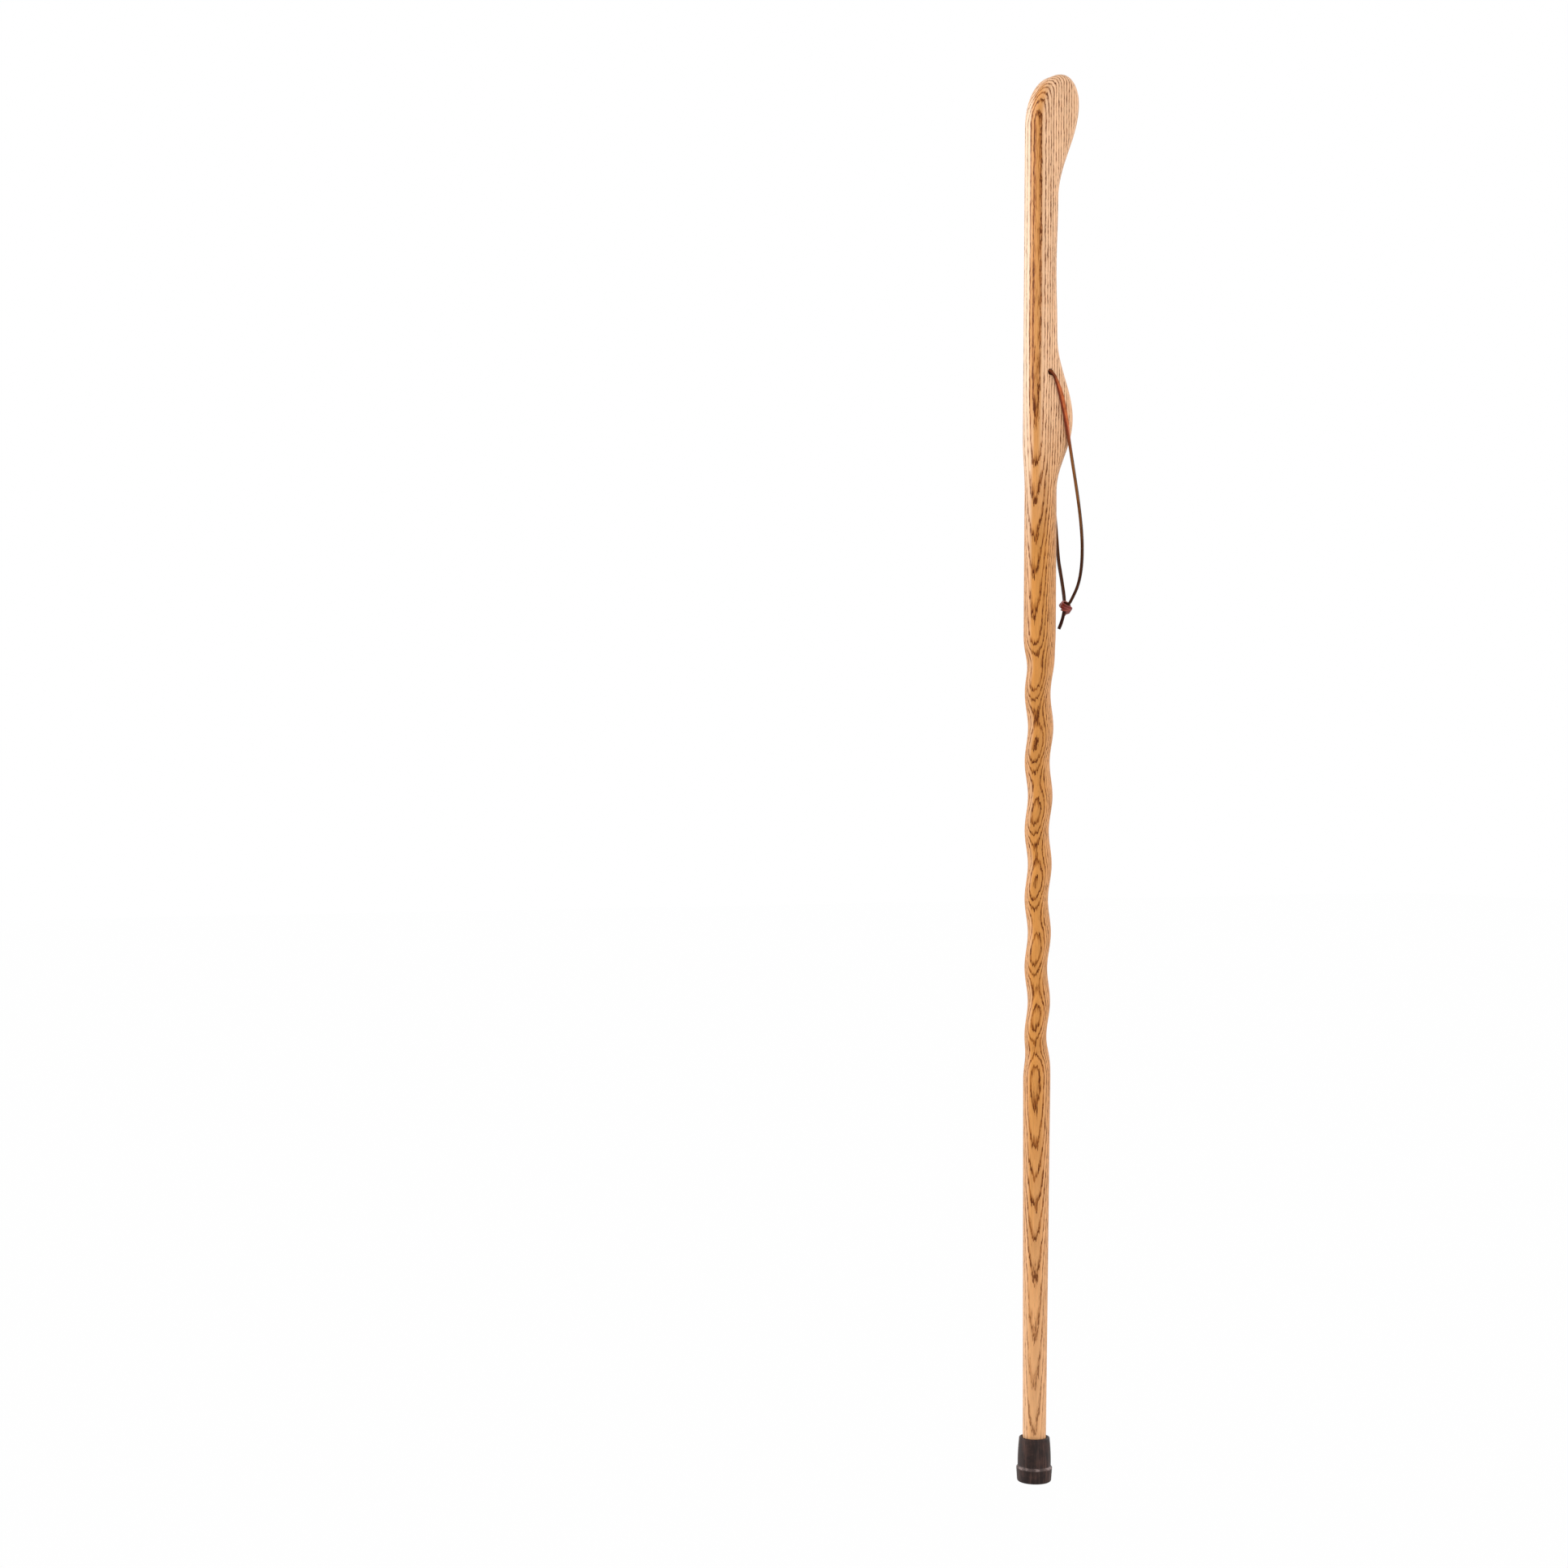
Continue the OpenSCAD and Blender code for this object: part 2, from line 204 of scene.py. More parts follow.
def ease(start, end, part):
    """A smooth step from start to end."""
    return start + (end - start) * (1 - math.cos(math.pi * part)) / 2


def steps(low, high, count):
    """Evenly spaced values, both ends among them."""
    return [low + (high - low) * i / count for i in range(count + 1)]


def arc(centre, radius, start, end, count):
    """Points of an arc in a plane, with angles in degrees."""
    turns = [math.radians(a) for a in steps(start, end, count)]
    return [(centre[0] + radius * math.cos(a), centre[1] + radius * math.sin(a)) for a in turns]


def circle(centre_x, centre_y, radius, z, turns):
    """Points of a level circle at the given turns."""
    return [Vector((centre_x + radius * math.cos(a), centre_y + radius * math.sin(a), z)) for a in turns]


def tube_faces(rings):
    """Faces between each closed ring of vertex numbers and the next one."""
    faces = []
    for lower, upper in zip(rings, rings[1:]):
        count = len(lower)
        faces += [(lower[i], lower[(i + 1) % count], upper[(i + 1) % count], upper[i]) for i in range(count)]
    return faces


def lathe(profile, segments):
    """Points and faces of a profile of (radius, height) turned about the axis, which both its ends touch."""
    points = [Vector((0, 0, profile[0][1])), Vector((0, 0, profile[-1][1]))]
    turns = [2 * math.pi * i / segments for i in range(segments)]
    rings = []
    for radius, height in profile[1:-1]:
        rings.append(range(len(points), len(points) + segments))
        points += circle(0, 0, radius, height, turns)
    faces = tube_faces(rings)
    for pole, ring in ((0, rings[0]), (1, rings[-1])):
        faces += [(pole, ring[i], ring[(i + 1) % segments]) for i in range(segments)]
    return points, faces


def closed_mesh(name, points, faces):
    """A smooth mesh whose faces all look outwards."""
    mesh = bpy.data.meshes.new(name)
    mesh.from_pydata(points, [], faces)
    shaper = bmesh.new()
    shaper.from_mesh(mesh)
    bmesh.ops.recalc_face_normals(shaper, faces=shaper.faces)
    shaper.to_mesh(mesh)
    shaper.free()
    mesh.shade_smooth()
    return mesh


def add_object(name, data):
    """A new object in the scene."""
    made = bpy.data.objects.new(name, data)
    bpy.context.scene.collection.objects.link(made)
    return made


def add_piece(name, shape, materials, body, nodes):
    """A piece that rides on a body and stands for CAD nodes. Its shape is points, faces and, where it has
    several materials, the number of each face's material."""
    points, faces, *kinds = shape
    mesh = closed_mesh(name, points, faces)
    for material in materials:
        mesh.materials.append(material)
    if kinds:
        mesh.polygons.foreach_set("material_index", kinds[0])
    mesh.set_sharp_from_angle(angle=SHARP_TURN)
    piece = add_object(name, mesh)
    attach(piece, body)
    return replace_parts(piece, *nodes)


# Shader tools

class Tree:
    """A node tree with short calls to add and link its nodes."""

    def __init__(self, tree):
        self.tree = tree

    def feed(self, node, inputs):
        """Links a node's inputs to sockets, or sets them to plain values. Plain colours are opaque."""
        for name, value in inputs.items():
            socket = node.inputs[name]
            if isinstance(value, bpy.types.NodeSocket):
                self.tree.links.new(value, socket)
            else:
                socket.default_value = (*value, 1.0) if socket.type == "RGBA" else value

    def node(self, kind, inputs=None, **settings):
        """A new node with its settings and its inputs."""
        made = self.tree.nodes.new(kind)
        for name, value in settings.items():
            setattr(made, name, value)
        self.feed(made, inputs or {})
        return made

    def group(self, name, **inputs):
        """The outputs of a shared group, placed with its own values."""
        return self.node("ShaderNodeGroup", inputs, node_tree=bpy.data.node_groups[name]).outputs

    def math(self, operation, *values):
        """A Math node's result."""
        return self.node("ShaderNodeMath", dict(enumerate(values)), operation=operation).outputs[0]

    plus = partialmethod(math, "ADD")
    minus = partialmethod(math, "SUBTRACT")
    times = partialmethod(math, "MULTIPLY")
    most = partialmethod(math, "MAXIMUM")

    def grown(self, start, value, factor):
        """A start with a value times a factor added to it."""
        return self.math("MULTIPLY_ADD", value, factor, start)

    def vector(self, operation, first, second=(0, 0, 0), output="Vector"):
        """A Vector Math node's result."""
        made = self.node("ShaderNodeVectorMath", {0: first, 1: second}, operation=operation)
        return made.outputs[output]

    def along(self, place, axis):
        """How far a place lies along an axis."""
        return self.node("ShaderNodeSeparateXYZ", {"Vector": place}).outputs[axis]

    def band(self, value, low, high, bottom=0.0, top=1.0):
        """A smooth step of a value between two limits."""
        made = self.node("ShaderNodeMapRange", {
            "Value": value, "From Min": low, "From Max": high, "To Min": bottom, "To Max": top},
            interpolation_type="SMOOTHSTEP")
        return made.outputs["Result"]

    def noise(self, place, scale, detail=2.0, roughness=0.5):
        """A noise over a place that is scaled along each axis."""
        made = self.node("ShaderNodeTexNoise", {
            "Vector": self.vector("MULTIPLY", place, scale), "Scale": 1.0, "Detail": detail,
            "Roughness": roughness})
        return made.outputs["Fac"]

    def cells(self, place, scale):
        """Distance to the nearest of scattered points, over a place that is scaled along each axis."""
        made = self.node("ShaderNodeTexVoronoi", {
            "Vector": self.vector("MULTIPLY", place, scale), "Scale": 1.0})
        return made.outputs["Distance"]

    def mix(self, share_of_second, first, second, blend="MIX"):
        """A mix of two colours."""
        made = self.node("ShaderNodeMix", {0: share_of_second, 6: first, 7: second},
                         data_type="RGBA", blend_type=blend)
        return made.outputs[2]


def new_group(name, inputs, outputs):
    """A shader node group over a place, as its tree, its inputs and its output node. Its other sockets are
    plain values."""
    group = bpy.data.node_groups.new(name, "ShaderNodeTree")
    group.interface.new_socket("Place", in_out="INPUT", socket_type="NodeSocketVector")
    for in_out, sockets in (("INPUT", inputs), ("OUTPUT", outputs)):
        for socket in sockets:
            group.interface.new_socket(socket, in_out=in_out, socket_type="NodeSocketFloat")
    tree = Tree(group)
    return tree, tree.node("NodeGroupInput").outputs, tree.node("NodeGroupOutput")


def fresh_tree(owner):
    """The emptied node tree of a material or a world."""
    owner.use_nodes = True
    owner.node_tree.nodes.clear()
    return Tree(owner.node_tree)


def new_material(name):
    """A material, its tree, its object place and its shader."""
    material = bpy.data.materials.new(name)
    tree = fresh_tree(material)
    shader = tree.node("ShaderNodeBsdfPrincipled")
    tree.node("ShaderNodeOutputMaterial", {"Surface": shader.outputs["BSDF"]})
    place = tree.node("ShaderNodeTexCoord").outputs["Object"]
    return material, tree, place, shader


def dress(tree, shader, looks, relief, depth, strength):
    """Gives a shader its looks, and raises and sinks its surface by a relief from 0 to 1."""
    raised = tree.node("ShaderNodeBump", {"Height": relief, "Distance": depth, "Strength": strength})
    tree.feed(shader, {**looks, "Normal": raised.outputs["Normal"]})


def show_white(tree, output, lit, white, share_of_white):
    """Shows white to the camera, straight, in a reflection or through glass, and lit to all other rays."""
    path = tree.node("ShaderNodeLightPath").outputs
    shown = tree.most(tree.most(path["Is Camera Ray"], path["Is Glossy Ray"]), path["Is Transmission Ray"])
    mixed = tree.node("ShaderNodeMixShader", {
        0: tree.times(shown, share_of_white), 1: lit.outputs[0], 2: white.outputs[0]})
    tree.node(output, {"Surface": mixed.outputs[0]})


def make_wear_group():
    """Soft patches of handling, from 0 to 1, and fine scratches among them."""
    tree, given, out = new_group("handling_wear", ["Scale"], ["Patches", "Scratches"])
    place = tree.vector("MULTIPLY", given["Place"], given["Scale"])
    patches = tree.noise(place, (1, 1, 1), detail=4.0, roughness=0.6)
    scratches = tree.noise(place, (14, 14, 3), detail=3.0)
    tree.feed(out, {
        "Patches": tree.band(patches, 0.42, 0.68),
        "Scratches": tree.band(scratches, 0.60, 0.72)})


def make_grain_group():
    """Fine pits and creases, as a height from 0 to 1 and a mask of the pits."""
    tree, given, out = new_group("fine_grain", ["Scale"], ["Height", "Pits"])
    place = tree.vector("MULTIPLY", given["Place"], given["Scale"])
    cell = tree.cells(place, (1, 1, 1))
    rough = tree.noise(place, (0.6, 0.6, 0.6), detail=4.0, roughness=0.65)
    height = tree.times(tree.plus(cell, rough), 0.6)
    tree.feed(out, {"Height": height, "Pits": tree.band(cell, 0.30, 0.10)})


# Wood

# Direction from the rings' common centre to the staff, at the handle and at the foot, and the heights
# between which it changes
RING_FACING_HIGH = Vector((-0.86, -0.51, 0)).normalized()
RING_FACING_LOW = Vector((-0.62, -0.78, 0)).normalized()
PITH_DRIFT = 1.15, 0.10
PITH_DISTANCE = 0.2
RING_WIDTH = 2.5 * MM
# The grain runs out of the board below this height, by this share, after a bend of this depth
GRAIN_STRAIGHT_ABOVE = 1.031
GRAIN_RUN = 0.046
GRAIN_BEND = 0.006
# Rings by which all are moved on, and over which they wander
RING_PHASE = 1.02
RING_WANDER = 0.45

# A band is two limits, and the values at the first and at the second where they aren't 0 and 1
# Bands over the height: further rings for each metre of depth below the board's face on the spiral, and how
# many of them the plain foot lacks
CLOSER_ON_SPIRAL = 1.0, 0.86, 0.0, 150.0
WIDER_ON_FOOT = 0.45, 0.36, 0.0, 110.0
# Further rings that the foot of the shaft runs through, and that the handle gains
FOOT_RINGS = 0.40, 0.20, 0.0, 2.24
HANDLE_RINGS = 0.90, 0.97, 0.0, 0.33
# Bands over a ring, from its start at 0 to its end at 1
RING_START = 0.0, 0.04
SPRING_WOOD = 0.52, 0.16
LARGE_PORES = 0.42, 0.12, 0.0, 0.85
SCATTERED_PORES = 0.70, 0.30, 0.0, 0.15
LATE_WOOD = 0.45, 1.0
# Bands of colour over the height
WARM_BELOW_SWELL = 1.10, 0.92, 0.0, 0.95
PALER_TO_FOOT = 0.45, 0.05, 0.0, 0.40
BACK_EDGE_ON_HANDLE = 0.95, 1.08
PLAIN_FOOT = 0.30, 0.08
# Where the back shows sapwood with a painted sheen
SAP_AND_SHEEN_ON_HANDLE = 0.80, 1.15, 0.25, 0.80
# Bands over how squarely a surface faces the rings, and over how squarely it faces back
CUT_FLAT = 0.78, 1.0, 0.0, 0.85
CUT_ACROSS = 0.80, 0.40, 0.0, 0.30
WARM_BACK = 0.6, 0.9, 0.0, 0.85
DARK_BACK = 0.88, 0.96, 0.0, 0.40
# How squarely the back faces the key light, where it gets sapwood with a painted sheen
SAP_AND_SHEEN_ON_BACK = 0.90, 1.0
# Places across the back between which heartwood turns to sapwood with a painted sheen, and how far that
# border waves
SAP_BORDER = 5.5 * MM, -1.5 * MM
SAP_BORDER_WAVES = 6 * MM


def ring_count(tree, place, face):
    """How many rings lie between the pith and a place, with the wandering of real grain."""
    height = tree.along(place, "Z")
    drift = (RING_FACING_HIGH - RING_FACING_LOW) * PITH_DISTANCE
    pith = tree.vector("ADD", tree.vector("MULTIPLY", tree.band(height, *PITH_DRIFT), drift),
                       RING_FACING_HIGH * -PITH_DISTANCE)
    from_pith = tree.vector("MULTIPLY", tree.vector("SUBTRACT", place, pith), (1, 1, 0))
    radius = tree.minus(tree.vector("LENGTH", from_pith, output="Value"), PITH_DISTANCE)
    slope = tree.times(tree.minus(height, GRAIN_STRAIGHT_ABOVE), GRAIN_RUN)
    run = tree.math("SMOOTH_MIN", slope, 0.0, GRAIN_BEND)
    rings = tree.math("DIVIDE", tree.plus(radius, run), RING_WIDTH)
    closer = tree.minus(tree.band(height, *CLOSER_ON_SPIRAL), tree.band(height, *WIDER_ON_FOOT))
    rings = tree.grown(rings, tree.minus(radius, face), closer)
    rings = tree.minus(rings, tree.band(height, *FOOT_RINGS))
    rings = tree.plus(rings, tree.band(height, *HANDLE_RINGS))
    wander = tree.minus(tree.noise(place, (30, 30, 7)), 0.5)
    ragged = tree.minus(tree.noise(place, (700, 700, 70), detail=3.0, roughness=0.6), 0.5)
    rings = tree.plus(tree.grown(rings, wander, RING_WANDER), ragged)
    return tree.plus(rings, RING_PHASE)


def make_rings_group(face):
    """Growth rings of ring-porous wood: spring wood, pores, fibres and late wood as masks from 0 to 1, and
    each ring's own shade."""
    tree, given, out = new_group("growth_rings", [], ["Spring", "Pores", "Fibre", "Late", "Shade"])
    place = given["Place"]
    rings = ring_count(tree, place, face)
    part = tree.math("FRACT", rings)
    shade = tree.node("ShaderNodeTexWhiteNoise", {"W": tree.math("FLOOR", rings)}, noise_dimensions="1D")
    begun = tree.band(part, *RING_START)
    dense = tree.plus(tree.band(part, *LARGE_PORES), tree.band(part, *SCATTERED_PORES))
    uneven = tree.band(tree.noise(place, (260, 260, 60)), 0.34, 0.60, 0.45, 1.0)
    density = tree.times(tree.times(dense, begun), uneven)
    wall = tree.minus(tree.cells(place, (1500, 1500, 200)), tree.times(density, 0.72))
    small_pores = tree.band(tree.noise(place, (1100, 1100, 120)), 0.60, 0.74, 0.0, 0.30)
    tree.feed(out, {
        "Spring": tree.times(tree.band(part, *SPRING_WOOD), begun),
        "Pores": tree.most(tree.band(wall, 0.05, -0.08), small_pores),
        "Fibre": tree.noise(place, (520, 520, 14), detail=6.0, roughness=0.72),
        "Late": tree.band(part, *LATE_WOOD),
        "Shade": shade.outputs["Value"]})


def make_wood(finishes):
    """Satin lacquered wood whose rings run through the solid, so that each cut shows its own figure."""
    material, tree, place, shader = new_material("lacquered_wood")
    rings = tree.group("growth_rings", Place=place)
    wear = tree.group("handling_wear", Place=place, Scale=22.0)
    height = tree.along(place, "Z")
    foot = tree.band(height, *PLAIN_FOOT)
    normal = tree.node("ShaderNodeNewGeometry").outputs["Normal"]
    facing = tree.math("ABSOLUTE", tree.vector("DOT_PRODUCT", normal, RING_FACING_HIGH, "Value"))
    behind = tree.vector("DOT_PRODUCT", normal, (-1, 0, 0), "Value")
    border = tree.grown(tree.along(place, "Y"), tree.noise(place, (90, 90, 12)), SAP_BORDER_WAVES)
    near_edge = tree.times(tree.band(border, *SAP_BORDER), tree.band(height, *BACK_EDGE_ON_HANDLE))

    # Warm colour, on flat cuts, on the back's near edge and below the palm swell
    edge = tree.most(tree.band(facing, *CUT_FLAT), tree.times(near_edge, tree.band(behind, *WARM_BACK)))
    edge = tree.times(edge, tree.grown(1.0, foot, -0.6))
    low_down = tree.minus(tree.band(height, *WARM_BELOW_SWELL), tree.band(height, *PALER_TO_FOOT))
    low_down = tree.times(low_down, tree.minus(1.0, tree.band(facing, *CUT_ACROSS)))
    warm = tree.most(edge, low_down)

    # Sapwood with a painted sheen on the rest of the back, which faces the key light, and how much of the
    # figure the wood shows
    back = tree.times(tree.band(behind, *SAP_AND_SHEEN_ON_BACK), tree.minus(1.0, near_edge))
    sapwood_and_sheen = tree.times(back, tree.band(height, *SAP_AND_SHEEN_ON_HANDLE))
    heart = tree.times(tree.grown(1.0, sapwood_and_sheen, -0.65), tree.grown(1.0, foot, -0.45))

    spring = tree.mix(warm, finishes.spring_pale, finishes.spring_warm)
    summer = tree.mix(sapwood_and_sheen, tree.mix(warm, finishes.wood_pale, finishes.wood_warm), finishes.wood_sap_and_sheen)
    summer = tree.mix(tree.times(rings["Late"], 0.12), summer, spring)
    strength = tree.plus(tree.grown(0.68, warm, 0.20), tree.times(near_edge, tree.band(behind, *DARK_BACK)))
    tint = tree.times(rings["Spring"], tree.times(strength, heart))
    pores = tree.times(tree.times(rings["Pores"], heart), 0.95)
    body = tree.mix(pores, tree.mix(tint, summer, spring), finishes.wood_pore)
    tone = tree.grown(tree.grown(0.70, rings["Fibre"], 0.50), rings["Shade"], 0.10)
    grey = tree.node("ShaderNodeCombineColor", {"Red": tone, "Green": tone, "Blue": tone})
    dents = tree.grown(rings["Pores"], rings["Spring"], 0.3)
    dress(tree, shader, {
        "Base Color": tree.mix(1.0, body, grey.outputs["Color"], blend="MULTIPLY"),
        "Roughness": tree.grown(tree.grown(0.40, rings["Pores"], 0.25), wear["Patches"], 0.08),
        "Specular IOR Level": 0.08, "Coat Weight": 0.08, "Coat Roughness": 0.25},
        tree.minus(1.0, dents), 0.12 * MM, 0.8)
    return material


# Leather, rubber and steel

# Bands over the height: where the lace changes colour under the palm swell, where painted shade darkens it
# in its hole, and where it is darker near the knot
HIDE_CHANGES = 1.05, 1.01
PAINTED_SHADE_IN_HOLE = 1.084, 1.098, 0.0, 0.60
DARK_NEAR_KNOT = 0.99, 0.91, 0.0
# Heights from the top of the ferrule's collar over which the painted highlight on its bead comes in, and
# over which it ends
BEAD_HIGHLIGHT_BEGINS = -2.4 * MM, -0.8 * MM
BEAD_HIGHLIGHT_ENDS = 1.2 * MM, 0.0


def make_leather(finishes, name, top, low, gloss, low_shade):
    """Oiled leather that changes colour below the palm swell, with painted shade in its hole and in its
    grain's pits.
    """
    tree, place, shader = new_material(name)[1:]
    grain = tree.group("fine_grain", Place=place, Scale=2600.0)
    wear = tree.group("handling_wear", Place=place, Scale=160.0)
    height = tree.along(place, "Z")
    hide = tree.mix(tree.band(height, *HIDE_CHANGES), top, low)
    # Painted shade in the hole and in the grain's pits, a darker band near the knot, and wear patches
    for shade in (tree.band(height, *PAINTED_SHADE_IN_HOLE), tree.band(height, *DARK_NEAR_KNOT, low_shade),
                  tree.times(wear["Patches"], 0.35), tree.times(grain["Pits"], 0.5)):
        hide = tree.mix(shade, hide, finishes.leather_dark)
    dress(tree, shader, {
        "Base Color": hide, "Roughness": tree.grown(0.38, grain["Height"], 0.25),
        "Specular IOR Level": 0.05 + 0.25 * gloss, "Coat Weight": gloss, "Coat Roughness": 0.22},
        grain["Height"], 0.10 * MM, 0.7)


def leathers(finishes):
    """The lace's face and cut edge on its strands, and in the knot its face, cut edge and painted highlight.
    """
    for name, top, low, gloss, low_shade in (
            ("lace_face", finishes.leather_red, finishes.leather_dark, 0.03, 0.0),
            ("lace_edge", finishes.leather_side, finishes.leather_tan, 0.03, 0.85),
            ("knot_face", finishes.leather_knot_and_shade, finishes.leather_knot_and_shade, 0.4, 0.0),
            ("knot_crown", finishes.leather_painted_highlight, finishes.leather_painted_highlight, 0.4, 0.0),
            ("knot_edge", finishes.leather_rim, finishes.leather_rim, 0.3, 0.0)):
        if name not in bpy.data.materials:
            make_leather(finishes, name, top, low, gloss, low_shade)
    return bpy.data.materials


def make_rubber(finishes, collar_height):
    """Moulded rubber with a little dust on it and a painted highlight along its collar's bead."""
    material, tree, place, shader = new_material("moulded_rubber")
    grain = tree.group("fine_grain", Place=place, Scale=1800.0)
    wear = tree.group("handling_wear", Place=place, Scale=90.0)
    flow = tree.band(tree.noise(place, (420, 420, 28), detail=3.0), 0.45, 0.75)
    dust = tree.grown(tree.times(wear["Patches"], 0.30), flow, 0.50)
    above_collar = tree.minus(tree.along(place, "Z"), collar_height)
    # A painted highlight along the bead, broken up by noise
    bead = tree.times(tree.band(above_collar, *BEAD_HIGHLIGHT_BEGINS), tree.band(above_collar, *BEAD_HIGHLIGHT_ENDS))
    highlight_breaks = tree.band(tree.noise(place, (160, 160, 160), detail=3.0), 0.40, 0.60, 0.2, 0.9)
    skin = tree.mix(dust, finishes.rubber_dark, finishes.rubber_dust)
    dress(tree, shader, {
        "Base Color": tree.mix(tree.times(bead, highlight_breaks), skin, finishes.rubber_bead_highlight),
        "Roughness": tree.grown(tree.grown(0.46, wear["Patches"], 0.2), wear["Scratches"], 0.1),
        "Specular IOR Level": 0.22},
        tree.grown(grain["Height"], flow, 0.8), 0.08 * MM, 0.6)
    return material


def make_steel(finishes):
    """Plated steel, brushed and slightly tarnished."""
    material, tree, place, shader = new_material("plated_steel")
    wear = tree.group("handling_wear", Place=place, Scale=260.0)
    brushed = tree.noise(place, (900, 60, 60), detail=3.0)
    dress(tree, shader, {
        "Base Color": tree.mix(wear["Patches"], finishes.steel_light, finishes.steel_dull),
        "Roughness": tree.grown(0.24, brushed, 0.3), "Metallic": 1.0},
        brushed, 0.03 * MM, 0.4)
    return material


# Staff

# Rings down the shaft: to the spiral, along it, to the ferrule and in the ferrule
SHAFT_RINGS = 16, 210, 30, 4
# How far the eased edge of the hole turns outwards, its steps, and the drill's sides
FLARE_TURN, FLARE_STEPS = math.radians(82), 8
DRILL_SEGMENTS = 48


def taper_radius(staff, ferrule_height, z):
    """Radius of the plain taper at a height."""
    tip = staff.tip_diameter / 2
    return tip + (staff.board_thickness / 2 - tip) * share(z, ferrule_height, staff.taper_top)


def spiral_cut(staff, z):
    """How much of the spiral is cut at a height, from 0 to 1."""
    rising = ease(0, 1, share(z, staff.spiral_foot, staff.spiral_foot + staff.spiral_fade))
    return rising * ease(0, 1, share(staff.taper_top - z, 0, staff.spiral_fade))


class Handle:
    """The handle's outline and edges, worked out from the staff's sizes."""
    side_steps = 150
    crown_steps = 44
    edge_steps = 14

    def __init__(self, staff):
        self.staff = staff
        self.face_half = staff.board_thickness / 2 - staff.join_step
        self.swell_z = staff.overall_length - staff.swell_drop
        self.neck_low = self.swell_z + staff.swell_run_up
        self.nose_z = staff.overall_length - staff.nose_drop
        self.neck_high = self.nose_z - staff.head_sweep
        self.back_z = staff.overall_length - staff.back_drop
        self.swell_foot = self.swell_z - staff.swell_run_down
        self.foot = self.swell_foot - staff.join_length
        self.nose_span = staff.head_reach - staff.crown_offset
        self.back_span = staff.crown_offset + self.face_half

    def front_reach(self, z):
        """Reach of the front edge at a height below the nose."""
        staff = self.staff
        if z < self.swell_z:
            return ease(self.face_half, staff.swell_reach, share(z, self.swell_foot, self.swell_z))
        if z < self.neck_low:
            return ease(staff.swell_reach, staff.neck_reach, share(z, self.swell_z, self.neck_low))
        if z < self.neck_high:
            bowed = 1 - math.cos(2 * math.pi * share(z, self.neck_low, self.neck_high))
            return staff.neck_reach - staff.neck_hollow * bowed / 2
        return ease(staff.neck_reach, staff.head_reach, share(z, self.neck_high, self.nose_z))

    def outline(self):
        """Points (x, z) up the back, over the crown and down the front."""
        staff = self.staff
        crown = staff.crown_offset
        back = [(-self.face_half, z) for z in steps(self.foot, self.back_z, self.side_steps)[:-1]]
        # The rise and the fall end half a step from the crown, so that no point is there twice
        turns = [math.pi / 2 * i / (self.crown_steps - 0.5) for i in range(self.crown_steps)]
        rise = [(crown - self.back_span * math.cos(a), self.back_z + staff.back_drop * math.sin(a))
                for a in turns]
        fall = [(crown + self.nose_span * math.cos(a), self.nose_z + staff.nose_drop * math.sin(a))
                for a in reversed(turns)]
        front = [(self.front_reach(z), z) for z in steps(self.foot, self.nose_z, self.side_steps)[:-1]]
        return [*back, *rise, *fall, *reversed(front)]

    def edge_at(self, z):
        """Radius of the long edges at a height: the section is round at the foot."""
        round_section = self.face_half - self.staff.join_step
        return ease(round_section, self.staff.edge_radius,
                    share(z, self.swell_foot, self.swell_foot + self.staff.face_fade))

    def mesh(self):
        """Points and faces of the handle, and the ring of points at its foot."""
        line = self.outline()
        count = len(line)
        turns = steps(0, math.pi / 2, self.edge_steps)
        rows = [(-1, a) for a in reversed(turns)] + [(1, a) for a in turns]
        points = []
        for sign, turn in rows:
            for i, (x, z) in enumerate(line):
                before, after = line[max(i - 1, 0)], line[min(i + 1, count - 1)]
                run = Vector((after[0] - before[0], after[1] - before[1])).normalized()
                out = Vector((-run.y, run.x))
                radius = self.edge_at(z)
                drawn = radius * (1 - math.cos(turn))
                y = sign * (self.face_half - radius + radius * math.sin(turn))
                points.append(Vector((x - out.x * drawn, y, z - out.y * drawn)))
        faces = []
        for row in range(len(rows) - 1):
            for i in range(count - 1):
                a = row * count + i
                faces.append((a, a + 1, a + count + 1, a + count))
        far = (len(rows) - 1) * count
        for i in range(count // 2 - 1):
            other = count - 1 - i
            faces.append((i, other, other - 1, i + 1))
            faces.append((far + i, far + i + 1, far + other - 1, far + other))
        ring = [k * count for k in range(len(rows))]
        ring += [k * count + count - 1 for k in reversed(range(len(rows)))]
        return points, faces, ring


def shaft_circles(staff, handle_foot, wood_foot, ferrule_height):
    """The shaft's circles from under the handle to the end of the wood, as (x, y, radius, height)."""
    stops = [handle_foot, staff.taper_top, staff.spiral_foot, ferrule_height, wood_foot + staff.tip_bevel]
    circles = []
    for high, low, count in zip(stops, stops[1:], SHAFT_RINGS):
        for z in steps(high, low, count)[1:]:
            cut = spiral_cut(staff, z)
            facing = staff.spiral_facing + 2 * math.pi * (z - staff.spiral_foot) / staff.spiral_lead
            off = staff.spiral_offset * cut
            radius = taper_radius(staff, ferrule_height, z) - staff.spiral_depth * cut
            circles.append((off * math.cos(facing), off * math.sin(facing), radius, z))
    return [*circles, (0, 0, staff.tip_diameter / 2 - staff.tip_bevel, wood_foot)]


